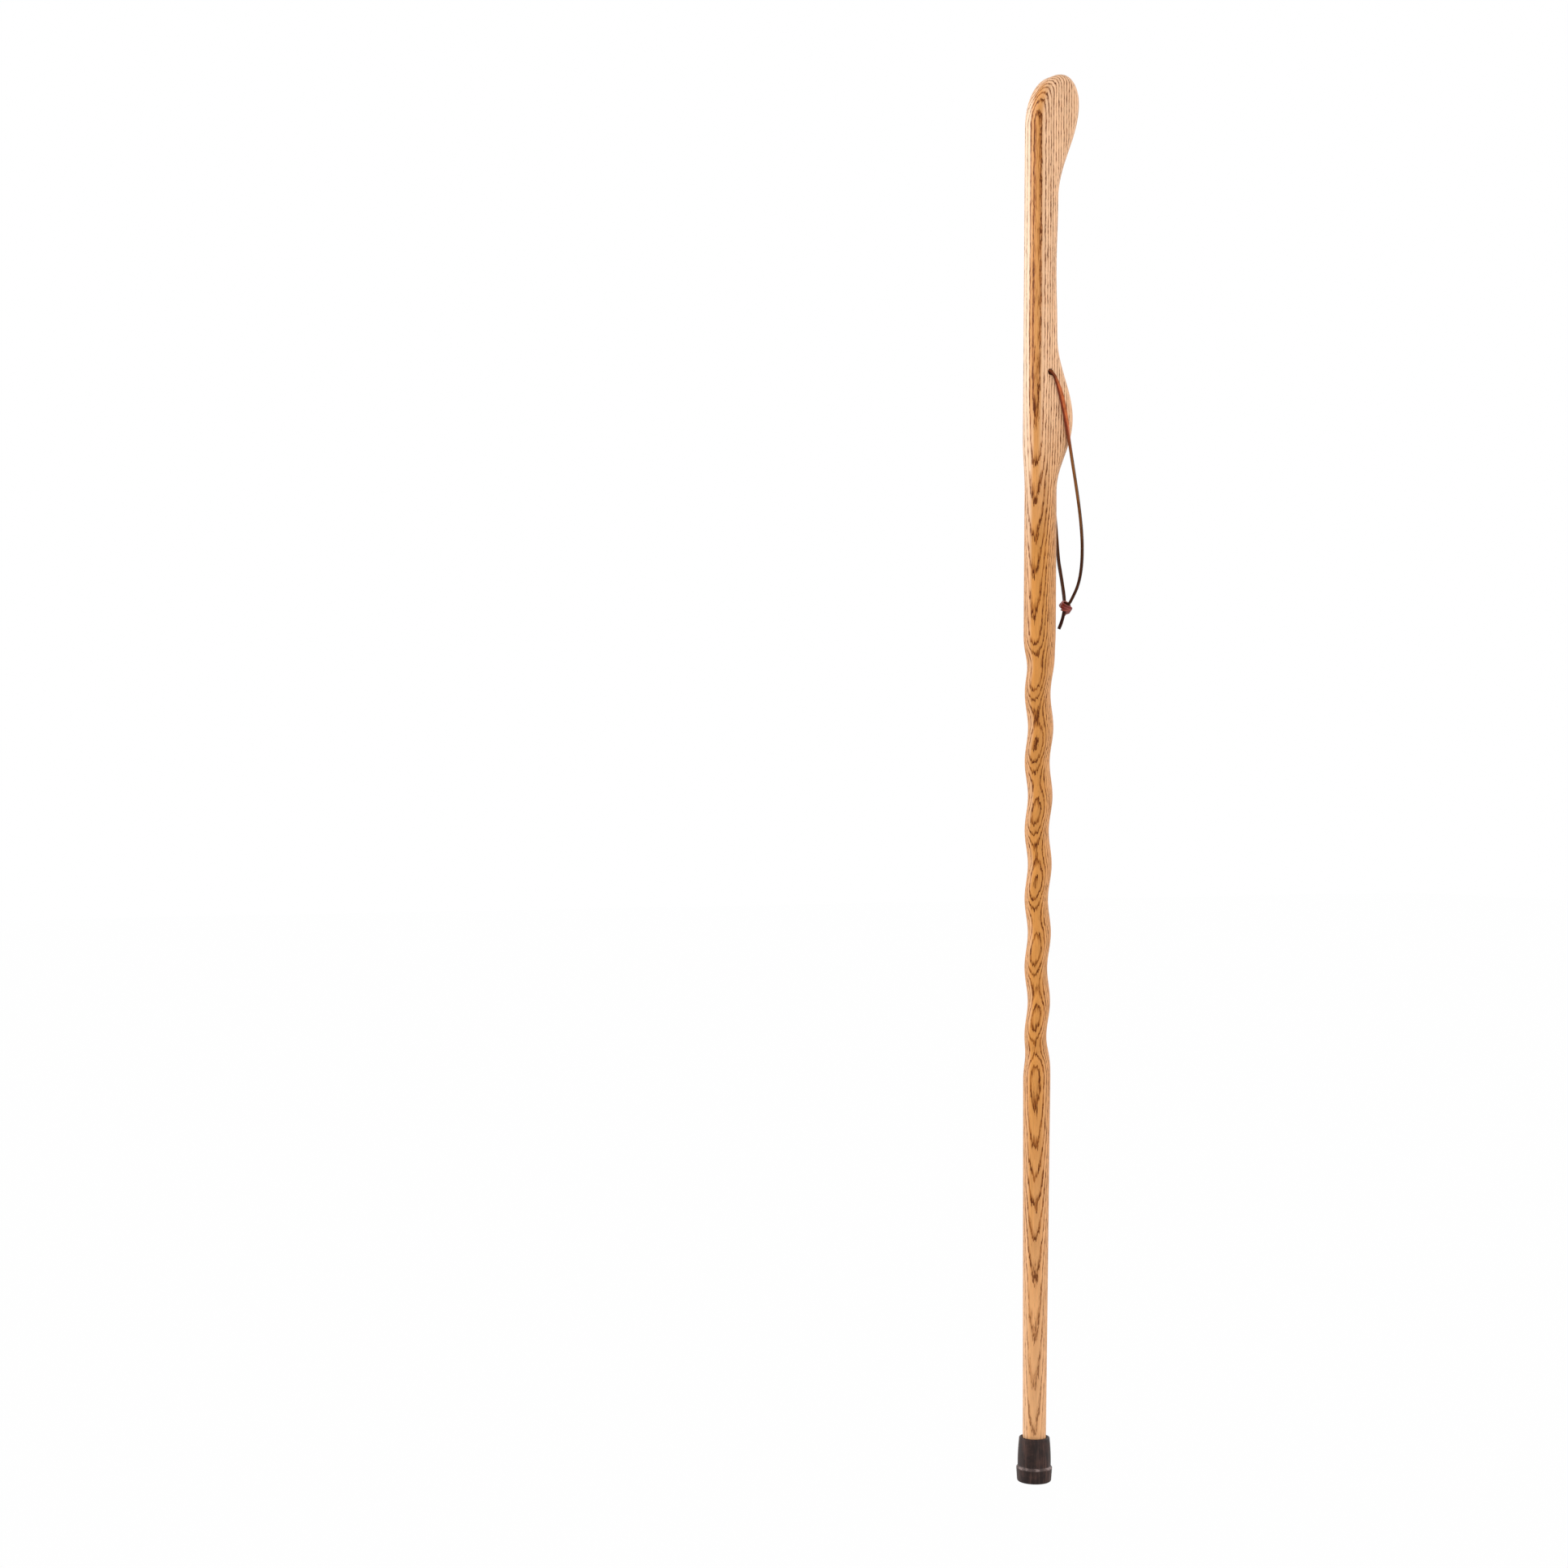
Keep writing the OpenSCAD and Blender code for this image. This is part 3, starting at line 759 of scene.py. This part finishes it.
def staff_shape(staff, wood_foot, ferrule_height):
    """Points and faces of the whole wood, without its hole."""
    handle = Handle(staff)
    points, faces, ring = handle.mesh()
    turns = [math.atan2(points[v].y, points[v].x) for v in ring]
    rings = [ring]
    for x, y, radius, z in shaft_circles(staff, handle.foot, wood_foot, ferrule_height):
        rings.append(range(len(points), len(points) + len(turns)))
        points += circle(x, y, radius, z, turns)
    return points, [*faces, *tube_faces(rings[::-1]), tuple(rings[-1])]


def drill_shape(staff, hole_height):
    """Points and faces of the drill that cuts the lanyard hole and eases its edges."""
    face = staff.board_thickness / 2 - staff.join_step
    bore, rounding = staff.hole_diameter / 2, staff.hole_ease
    half = [(bore + rounding * (1 - math.cos(a)), face - rounding + rounding * math.sin(a))
            for a in steps(0, FLARE_TURN, FLARE_STEPS)]
    half.append((half[-1][0] + rounding, face + rounding / 2))
    profile = [(0, -half[-1][1]), *[(r, -z) for r, z in reversed(half)], *half, (0, half[-1][1])]
    points, faces = lathe(profile, DRILL_SEGMENTS)
    along_y = Matrix.Rotation(math.pi / 2, 4, "X")
    along_y.translation = (0, 0, hole_height)
    return [along_y @ p for p in points], faces


def drill(piece, points, faces):
    """Cuts a closed mesh out of a piece."""
    cutter = add_object("drill", closed_mesh("drill", points, faces))
    cut = piece.modifiers.new("drill", "BOOLEAN")
    cut.operation = "DIFFERENCE"
    cut.solver = "EXACT"
    cut.object = cutter
    bpy.context.view_layer.update()
    shown = piece.evaluated_get(bpy.context.evaluated_depsgraph_get())
    drilled = bpy.data.meshes.new_from_object(shown)
    piece.modifiers.remove(cut)
    piece.data = drilled
    drilled.set_sharp_from_angle(angle=SHARP_TURN)
    bpy.data.objects.remove(cutter)


# Lanyard

# Route of one strand from inside the hole to the knot, in millimetres: from the shaft's axis towards +X,
# out from the board's face, and above the lace's run in the hole
STRAND_ROUTE = [
    (0, -4.5, 0), (0, -3.2, -0.1), (0.1, -2, -0.45), (0.3, -0.9, -1), (0.6, 0, -1.7), (1.1, 0.8, -2.4),
    (1.8, 1.4, -3.3), (2.6, 1.8, -4.3), (3.5, 1.9, -5.6), (4.9, 1.9, -8), (7.1, 1.9, -12.4),
    (9.2, 1.9, -17.4), (12.3, 1.9, -26), (14.9, 1.9, -35), (17.8, 1.9, -48), (20.4, 2, -62),
    (23.1, 2.2, -77), (25.7, 2.7, -92), (28.1, 3.3, -106), (30.4, 4.1, -121), (32.4, 4.7, -135),
    (34.1, 5, -148), (35.4, 5, -160), (36.3, 4.7, -171),
    (37, 3.6, -184), (37.6, 1.4, -195), (37.6, -1.4, -205), (36.8, -4.6, -213.5),
    (35.4, -8, -220.5), (33.8, -11, -226.5), (32.5, -13.4, -230)]
KNOT_CENTRE = (31.6, 0, -232)
# End of a strand in the knot: sideways from the middle, and below the knot's centre
STRAND_END_ASIDE, STRAND_END_BELOW = 0.5, 1
# Route of one tail: from the shaft's axis, sideways from the middle, above the run in the hole
TAIL_ROUTE = [(29.8, 2, -236), (28.4, 2.2, -242), (26.2, 2.2, -248), (23.6, 2, -253.5)]
# Route of the doubled lace in the knot, in millimetres from its centre: across the picture, up and out of it
KNOT_ROUTE = [
    (0.6, 1.4, -1.1), (0.2, -1.0, -1.4), (-0.8, -2.4, -1.6), (-2.1, -2.9, 0), (-1.5, -3.8, 2),
    (1.0, -4.4, 2.8), (3.3, -3.5, 1.8), (4, -0.6, -0.9), (2.2, 2.9, -3.9), (-1.7, 4.6, -3.5),
    (-4.2, 4.4, -0.7), (-4.1, 2.4, 2.2), (-1.7, 0.5, 4.2), (2.2, -1.2, 4.3), (4.6, -2.2, 2),
    (4.6, -3.3, -1.1), (2.2, -4.6, -3.1), (-0.6, -5.9, -1.7), (-2, -8, -0.4)]
# Share of the knot's route from which its two laces close up behind the front tail
KNOT_CLOSES_FROM = 0.86
# Each lace's distance from the middle of the doubled lace, as a share of its width
KNOT_SPACING = 0.48
# Steps along the lace, on its strands and tails and in the knot
LACE_STEP, KNOT_STEP = 1.2 * MM, 0.5 * MM
# Where the lace's flat side faces in the hole, so that it lies flat on the board outside it
LACE_TOP = Vector((-0.6, 0, 0.8))
# How quickly the lace in the knot turns its flat side outwards, from 0 to 1
OUTWARD_PULL = 0.25
# Shares of a strand's length between which it twists
TWIST_SPAN = 0.20, 0.34
# Lengths from the middle of the hole between which a strand gains its full width
WIDENING = 0.020, 0.044
# Waves of the hand-cut width: share of the width, metres for each radian, start in radians
WIDTH_WAVES = (0.03, 5.3 * MM, 0), (0.02, 2.1 * MM, 1)
CORNER_STEPS = 3
# Materials of the lace's sides: its face, its cut edges and the crown of its face, which in the knot is a
# painted highlight
FACE, EDGE, CROWN = 0, 1, 2
FRONT, REAR = -1, 1
SIDES = {FRONT: "front", REAR: "rear"}


def smooth_line(points, spacing):
    """A curve through the points, cut into short steps."""
    ends = [2 * points[0] - points[1], *points, 2 * points[-1] - points[-2]]
    line = []
    for a, b, c, d in zip(ends, ends[1:], ends[2:], ends[3:]):
        count = max(1, round((c - b).length / spacing))
        for i in range(count):
            t = i / count
            line.append(0.5 * (2 * b + (c - a) * t + (2 * a - 5 * b + 4 * c - d) * t * t
                               + (3 * b - a - 3 * c + d) * t ** 3))
    return [*line, points[-1]]


def travel(line):
    """The length along a line up to each of its points."""
    lengths = [0.0]
    for a, b in zip(line, line[1:]):
        lengths.append(lengths[-1] + (b - a).length)
    return lengths


def in_frame(settings, x, y, z):
    """A point of the lanyard's route in metres, with its height above the lace's run."""
    return Vector((x * MM, y * MM, settings.lanyard.run_height + z * MM))


def view_axes():
    """Directions across the picture, up it and out of it towards the camera."""
    across = Vector((math.cos(CAMERA_AZIMUTH), math.sin(CAMERA_AZIMUTH), 0))
    up = Vector((0, 0, 1))
    return across, up, across.cross(up)


def strand_line(settings, side):
    """The line of one strand from the middle of the hole to the knot."""
    face = settings.staff.board_thickness / 2 / MM
    route = [in_frame(settings, x, side * (face + out), z) for x, out, z in STRAND_ROUTE]
    end = in_frame(settings, KNOT_CENTRE[0], side * STRAND_END_ASIDE, KNOT_CENTRE[2] - STRAND_END_BELOW)
    return smooth_line([in_frame(settings, 0, 0, 0), *route, end], LACE_STEP)


def tail_line(settings, side):
    """The line of one tail out of the knot: the front one hides the rear one."""
    towards = view_axes()[2]
    route = [in_frame(settings, x, 0, z) - side * y * MM * towards for x, y, z in TAIL_ROUTE]
    return smooth_line(route, LACE_STEP)


def knot_line(settings):
    """The middle line of the doubled lace in the knot."""
    across, up, towards = view_axes()
    centre = in_frame(settings, *KNOT_CENTRE)
    route = [centre + MM * (a * across + b * up + c * towards) for a, b, c in KNOT_ROUTE]
    return smooth_line(route, KNOT_STEP)


def lace_section(lanyard):
    """A rectangle with rounded corners, and the material of each of its sides."""
    half_width = lanyard.lace_width / 2 - lanyard.corner
    half_thick = lanyard.lace_thickness / 2 - lanyard.corner
    corners = [(half_width, half_thick, 0), (-half_width, half_thick, 90),
               (-half_width, -half_thick, 180), (half_width, -half_thick, 270)]
    points = [p for x, y, turn in corners
              for p in arc((x, y), lanyard.corner, turn, turn + 90, CORNER_STEPS)]
    kinds = []
    for a, b in zip(points, points[1:] + points[:1]):
        on_edge = abs(a[0] + b[0]) / 2 > half_width
        crowned = min(abs(a[1]), abs(b[1])) > half_thick + lanyard.corner / 2
        kinds.append(EDGE if on_edge else CROWN if crowned else FACE)
    return points, kinds


def lace_frames(line, flat_side, twist=0.0, centre=None):
    """Heading and flat side of the lace at each point of a line: carried along it, twisted, or kept facing
    away from a centre."""
    lengths = travel(line)
    last = len(line) - 1
    along = (line[1] - line[0]).normalized()
    normal = flat_side
    frames = []
    for i, place in enumerate(line):
        heading = (line[min(i + 1, last)] - line[max(i - 1, 0)]).normalized()
        normal = along.rotation_difference(heading) @ normal
        if centre:
            normal = normal.lerp((place - centre).normalized(), OUTWARD_PULL)
        normal = (normal - normal.dot(heading) * heading).normalized()
        along = heading
        turned = ease(0, twist, share(lengths[i] / lengths[-1], *TWIST_SPAN))
        frames.append((along, Quaternion(along, turned) @ normal))
    return frames


def sweep_lace(lanyard, line, frames, squeeze=1.0, start_squeeze=None):
    """Points, faces and face materials of the lace along a line, which it may start narrower."""
    section, side_kinds = lace_section(lanyard)
    points, rings = [], []
    for place, (along, normal), travelled in zip(line, frames, travel(line)):
        side = along.cross(normal)
        width = ease(start_squeeze or squeeze, squeeze, share(travelled, *WIDENING))
        width += sum(part * math.sin(travelled / wave + start) for part, wave, start in WIDTH_WAVES)
        rings.append(range(len(points), len(points) + len(section)))
        points += [place + width * x * side + squeeze * y * normal for x, y in section]
    ends = [tuple(reversed(rings[0])), tuple(rings[-1])]
    return points, tube_faces(rings) + ends, side_kinds * (len(rings) - 1) + [EDGE] * len(ends)


def joined(parts):
    """Several shapes as one."""
    points, faces, kinds = [], [], []
    for part_points, part_faces, part_kinds in parts:
        base = len(points)
        points += part_points
        faces += [tuple(base + v for v in face) for face in part_faces]
        kinds += part_kinds
    return points, faces, kinds


# Ferrule

FERRULE_SEGMENTS = 128
# Steps of its roundings and of its skirt, and how far the collar's bead rounds over, in degrees
ROUND_STEPS, BEAD_STEPS, SKIRT_STEPS = 10, 8, 16
BEAD_TURN = 70
TREADS = 2


def ferrule_profile(ferrule, tip_radius):
    """The ferrule's outline of (radius, height), from under its foot, over its rim and down its bore."""
    bore = tip_radius + ferrule.clearance
    collar, skirt, rim = bore + ferrule.collar_wall, bore + ferrule.skirt_wall, bore + ferrule.rim_wall
    foot = collar - ferrule.foot_draft
    lip = ferrule.lip_round
    skirt_low = ferrule.collar_height + lip / 2
    rim_low = ferrule.height - lip
    profile = [(0, 0)]
    for tread in range(1, TREADS + 1):
        middle, half = tread * collar / (TREADS + 1), ferrule.tread_width / 2
        profile += [(middle - half, 0), (middle - half, ferrule.tread_depth),
                    (middle + half, ferrule.tread_depth), (middle + half, 0)]
    profile += arc((foot - ferrule.foot_round, ferrule.foot_round), ferrule.foot_round, -90, 0, ROUND_STEPS)
    profile += arc((collar - lip, ferrule.collar_height - lip), lip, 0, BEAD_TURN, BEAD_STEPS)
    for part in steps(0, 1, SKIRT_STEPS)[:-1]:
        bulge = ferrule.skirt_belly * math.sin(math.pi * part)
        profile.append((skirt + (rim - skirt) * part + bulge, skirt_low + (rim_low - skirt_low) * part))
    profile += arc((rim - lip, rim_low), lip, 0, 90, ROUND_STEPS)
    profile += [(bore + ferrule.mouth_ease, ferrule.height), (bore, ferrule.height - ferrule.mouth_ease)]
    return [*profile, (bore, ferrule.floor), (0, ferrule.floor)]


# Operators

class STAFF_OT_set_stage(bpy.types.Operator):
    """Sets the camera, the lights, the white surround and the pale floor"""
    bl_idname = "hiking_staff.set_stage"
    bl_label = "Set the stage"

    camera_height = 0.690
    camera_distance = 2.70
    camera_lens = 62.17
    camera_sensor = 36
    off_centre = 0.2528
    lean = math.radians(0.38)
    # Name, azimuth, elevation, strength and spread of each lamp, with angles in degrees
    lamps = ("key", -125, 18, 2.4, 50), ("front", -5, 25, 1.4, 70), ("fill", 80, 25, 0.90, 60)
    surround_strength = 0.30
    floor_size = 24.0
    floor_grey = 0.95
    # Share of plain white in the floor, which leaves the rest for the staff's shadow
    floor_white = 0.97

    def execute(self, context):
        context.scene.view_settings.view_transform = "Standard"
        self.place_camera(context.scene)
        self.light(context.scene)
        self.lay_floor()
        return {"FINISHED"}

    def place_camera(self, scene):
        """The camera stands level with the staff's middle and looks past its left side."""
        camera = add_object("camera", bpy.data.cameras.new("camera"))
        camera.data.sensor_width = self.camera_sensor
        camera.data.lens = self.camera_lens
        up, back = view_axes()[1:]
        camera.location = back * self.camera_distance + up * self.camera_height
        facing = (-back).to_track_quat("-Z", "Y")
        yaw = Quaternion(up, math.asin(self.off_centre / self.camera_distance))
        roll = Quaternion(up, self.lean)
        camera.rotation_mode = "QUATERNION"
        camera.rotation_quaternion = yaw @ facing @ roll
        scene.camera = camera

    def light(self, scene):
        """A broad key from the left, soft lights from the front and the right, and an even surround."""
        for name, azimuth, elevation, strength, spread in self.lamps:
            lamp = bpy.data.lights.new(name, "SUN")
            lamp.energy = strength
            lamp.angle = math.radians(spread)
            a, e = math.radians(azimuth), math.radians(elevation)
            back = Vector((math.sin(a) * math.cos(e), -math.cos(a) * math.cos(e), math.sin(e)))
            add_object(name, lamp).rotation_euler = back.to_track_quat("Z", "Y").to_euler()
        world = bpy.data.worlds.new("surround")
        tree = fresh_tree(world)
        even, white = (tree.node("ShaderNodeBackground", {"Color": (1, 1, 1), "Strength": strength})
                       for strength in (self.surround_strength, 1.0))
        show_white(tree, "ShaderNodeOutputWorld", even, white, 1.0)
        scene.world = world

    def lay_floor(self):
        """The floor lies where a ferrule that is pulled off the tip comes to stand."""
        half = self.floor_size / 2
        low = -JOINTS["ferrule_pull"]["range_m"][1]
        mesh = bpy.data.meshes.new("floor")
        mesh.from_pydata([(-half, -half, low), (half, -half, low), (half, half, low), (-half, half, low)],
                         [], [(0, 1, 2, 3)])
        material = bpy.data.materials.new("pale_floor")
        tree = fresh_tree(material)
        lit = tree.node("ShaderNodeBsdfDiffuse", {"Color": [self.floor_grey] * 3})
        white = tree.node("ShaderNodeEmission", {"Color": (1, 1, 1), "Strength": 1.0})
        show_white(tree, "ShaderNodeOutputMaterial", lit, white, self.floor_white)
        mesh.materials.append(material)
        add_object("floor", mesh)


class STAFF_OT_lay_lace(bpy.types.Operator):
    """Lays the two strands and the two tails of the leather lace"""
    bl_idname = "hiking_staff.lay_lace"
    bl_label = "Lay the lace"

    def execute(self, context):
        settings = context.scene.hiking_staff
        lanyard = settings.lanyard
        hides = leathers(settings.finishes)
        lace_hides = [hides["lace_face"], hides["lace_edge"], hides["lace_face"]]
        for side, name in SIDES.items():
            line = strand_line(settings, side)
            twist = lanyard.front_twist if side == FRONT else lanyard.rear_twist
            strand = sweep_lace(lanyard, line, lace_frames(line, LACE_TOP, twist),
                                start_squeeze=lanyard.hole_squeeze)
            nodes = [f"lanyard_{name}_strand"]
            if side == FRONT:
                nodes.append("lanyard_hole_run")
            add_piece(f"lace_{name}_strand", strand, lace_hides, "lanyard", nodes)
            line = tail_line(settings, side)
            tail = sweep_lace(lanyard, line, lace_frames(line, view_axes()[2]), lanyard.tail_squeeze)
            add_piece(f"lace_{name}_tail", tail, lace_hides, "lanyard", [f"lanyard_{name}_tail"])
        return {"FINISHED"}


class STAFF_OT_tie_knot(bpy.types.Operator):
    bl_idname = "hiking_staff.tie_knot"
    bl_label = "Tie the knot"

    def execute(self, context):
        settings = context.scene.hiking_staff
        lanyard = settings.lanyard
        hides = leathers(settings.finishes)
        # The knot's face is a shaded copy and its crown a lit copy of the same leather: painted shade and
        # painted highlight
        knot_hides = [hides["knot_face"], hides["knot_edge"], hides["knot_crown"]]
        line = knot_line(settings)
        frames = lace_frames(line, view_axes()[2], centre=in_frame(settings, *KNOT_CENTRE))
        apart = lanyard.knot_squeeze * lanyard.lace_width * KNOT_SPACING
        laces = []
        for sign in (-1, 1):
            beside = []
            for i, (place, (along, normal)) in enumerate(zip(line, frames)):
                closing = share(i / len(line), KNOT_CLOSES_FROM, 1.0)
                beside.append(place + sign * apart * (1 - closing) * along.cross(normal))
            laces.append(sweep_lace(lanyard, beside, frames, lanyard.knot_squeeze))
        knot = add_piece("lace_knot", joined(laces), knot_hides, "lanyard", ["lanyard_knot"])
        return {"FINISHED"}


class STAFF_OT_carve_staff(bpy.types.Operator):
    """Carves the staff from its sizes and drills its lanyard hole"""
    bl_idname = "hiking_staff.carve_staff"
    bl_label = "Carve the staff"

    def execute(self, context):
        settings = context.scene.hiking_staff
        shape = staff_shape(settings.staff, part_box("staff")[0].z, settings.ferrule.height)
        piece = add_piece("carved_staff", shape, [make_wood(settings.finishes)], "staff", ["staff"])
        drill(piece, *drill_shape(settings.staff, settings.lanyard.hole_height))
        return {"FINISHED"}


class STAFF_OT_mould_ferrule(bpy.types.Operator):
    """Moulds the rubber ferrule"""
    bl_idname = "hiking_staff.mould_ferrule"
    bl_label = "Mould the ferrule"

    def execute(self, context):
        settings = context.scene.hiking_staff
        profile = ferrule_profile(settings.ferrule, settings.staff.tip_diameter / 2)
        rubber = make_rubber(settings.finishes, settings.ferrule.collar_height)
        add_piece("moulded_ferrule", lathe(profile, FERRULE_SEGMENTS), [rubber], "ferrule",
                  ["rubber_ferrule"])
        return {"FINISHED"}


class STAFF_OT_finish_washer(bpy.types.Operator):
    """Gives the washer in the ferrule its plated finish"""
    bl_idname = "hiking_staff.finish_washer"
    bl_label = "Finish the washer"

    def execute(self, context):
        washer = frame["nodes"]["ferrule_washer"]
        washer.data.materials.clear()
        washer.data.materials.append(make_steel(context.scene.hiking_staff.finishes))
        return {"FINISHED"}


class STAFF_PT_panel(bpy.types.Panel):
    """Lists the steps that make the hiking staff, and its settings"""
    bl_idname = "STAFF_PT_panel"
    bl_label = "Hiking staff"
    bl_space_type = "VIEW_3D"
    bl_region_type = "UI"
    bl_category = "Hiking staff"

    def draw(self, context):
        for step in STEPS:
            self.layout.operator(step.bl_idname)
        settings = context.scene.hiking_staff
        for group in (settings.staff, settings.lanyard, settings.ferrule, settings.finishes):
            box = self.layout.box()
            for name in group.__annotations__:
                box.prop(group, name)


STEPS = (STAFF_OT_set_stage, STAFF_OT_lay_lace, STAFF_OT_tie_knot, STAFF_OT_carve_staff,
         STAFF_OT_mould_ferrule, STAFF_OT_finish_washer)
CLASSES = (StaffSizes, LanyardSizes, FerruleSizes, Finishes, StaffSettings, *STEPS, STAFF_PT_panel)


def register():
    """Registers the settings, the operators and the panel."""
    for made in CLASSES:
        bpy.utils.register_class(made)
    bpy.types.Scene.hiking_staff = PointerProperty(type=StaffSettings)


def unregister():
    """Takes them away again."""
    del bpy.types.Scene.hiking_staff
    for made in reversed(CLASSES):
        bpy.utils.unregister_class(made)


def main():
    """Makes the staff step by step."""
    register()
    make_wear_group()
    make_grain_group()
    make_rings_group(bpy.context.scene.hiking_staff.staff.board_thickness / 2)
    bpy.ops.hiking_staff.set_stage()
    bpy.ops.hiking_staff.lay_lace()
    bpy.ops.hiking_staff.tie_knot()
    bpy.ops.hiking_staff.carve_staff()
    bpy.ops.hiking_staff.mould_ferrule()
    bpy.ops.hiking_staff.finish_washer()


if __name__ == "__main__":
    main()
